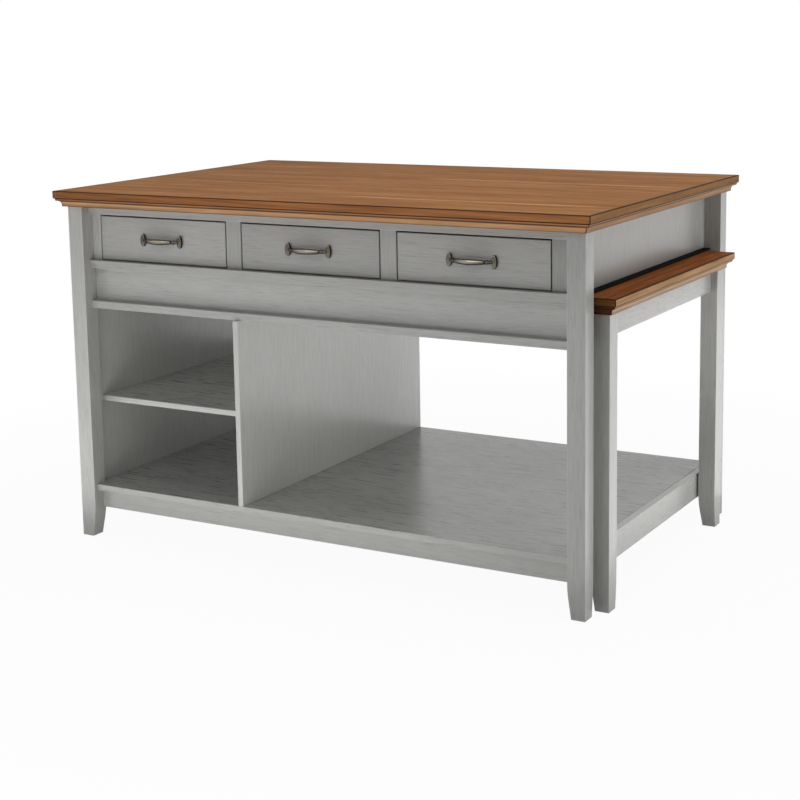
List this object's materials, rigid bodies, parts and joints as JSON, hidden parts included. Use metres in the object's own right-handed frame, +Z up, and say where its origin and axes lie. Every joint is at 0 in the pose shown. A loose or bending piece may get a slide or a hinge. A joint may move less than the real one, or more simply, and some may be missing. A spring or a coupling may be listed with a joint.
{
  "type": "kitchen island unit",
  "caption": "Free-standing kitchen island on square legs with a wooden top, inset drawers, an open shelf bay and a side table that pulls out of one end.",
  "frame": {"origin": "on the floor, under the centre of the outline seen from above with the drawers and the side table shut", "axes": "+X along the length towards the end with the side table, -Y towards the drawer fronts, +Z up"},
  "size_m": [1.5026, 0.986, 0.914],
  "materials": {
    "grey_paint": "light grey wire-brushed paint over open-grained wood, darker in the grain, satin",
    "brown_stain": "warm brown stained wood with dark glaze in the arrises and coves, satin lacquer",
    "bare_birch": "bare sanded birch and birch plywood, matt",
    "dark_pewter": "cast zinc with a dark antique pewter finish, rubbed bright on the high spots",
    "black_nylon": "moulded black nylon"
  },
  "bodies": {
    "island": {"worktop_slab": "brown_stain", "worktop_moulding": "brown_stain", "leg_front_left": "grey_paint", "leg_front_right": "grey_paint", "leg_back_left": "grey_paint", "leg_back_right": "grey_paint", "rail_top": "grey_paint", "rail_middle": "grey_paint", "rail_lower": "grey_paint", "fascia_panel": "grey_paint", "stile_left": "grey_paint", "stile_middle_left": "grey_paint", "stile_middle_right": "grey_paint", "stile_right": "grey_paint", "side_panel_left": "grey_paint", "divider_panel": "grey_paint", "shelf": "grey_paint", "side_panel_right": "grey_paint", "back_panel": "grey_paint", "compartment_floor": "grey_paint", "bottom_board": "grey_paint", "bottom_rail_front": "grey_paint", "bottom_rail_back": "grey_paint", "bottom_rail_left": "grey_paint", "bottom_rail_right": "grey_paint", "drawer_deck": "bare_birch", "partition_left": "bare_birch", "partition_right": "bare_birch", "drawer_1_runner": "bare_birch", "drawer_2_runner": "bare_birch", "drawer_3_runner": "bare_birch", "table_guide_front": "bare_birch", "table_guide_back": "bare_birch", "glide_front_left": "black_nylon", "glide_front_right": "black_nylon", "glide_back_left": "black_nylon", "glide_back_right": "black_nylon"},
    "drawer_1": {"drawer_1_front": "grey_paint", "drawer_1_pull": "dark_pewter", "drawer_1_box": "bare_birch", "drawer_1_bottom": "bare_birch", "drawer_1_slide": "bare_birch"},
    "drawer_2": {"drawer_2_front": "grey_paint", "drawer_2_pull": "dark_pewter", "drawer_2_box": "bare_birch", "drawer_2_bottom": "bare_birch", "drawer_2_slide": "bare_birch"},
    "drawer_3": {"drawer_3_front": "grey_paint", "drawer_3_pull": "dark_pewter", "drawer_3_box": "bare_birch", "drawer_3_bottom": "bare_birch", "drawer_3_slide": "bare_birch"},
    "side_table": {"table_slab": "brown_stain", "table_moulding": "brown_stain", "table_leg_front": "grey_paint", "table_leg_back": "grey_paint", "table_glide_front": "black_nylon", "table_glide_back": "black_nylon", "table_apron": "grey_paint", "table_underframe": "bare_birch"}
  },
  "joints": [
    {"name": "drawer_1_slides", "type": "slide", "parent": "island", "child": "drawer_1", "axis": [0, -1, 0], "range_m": [0, 0.3]},
    {"name": "drawer_2_slides", "type": "slide", "parent": "island", "child": "drawer_2", "axis": [0, -1, 0], "range_m": [0, 0.3]},
    {"name": "drawer_3_slides", "type": "slide", "parent": "island", "child": "drawer_3", "axis": [0, -1, 0], "range_m": [0, 0.3]},
    {"name": "side_table_slides", "type": "slide", "parent": "island", "child": "side_table", "axis": [1, 0, 0], "range_m": [0, 0.5]}
  ]
}
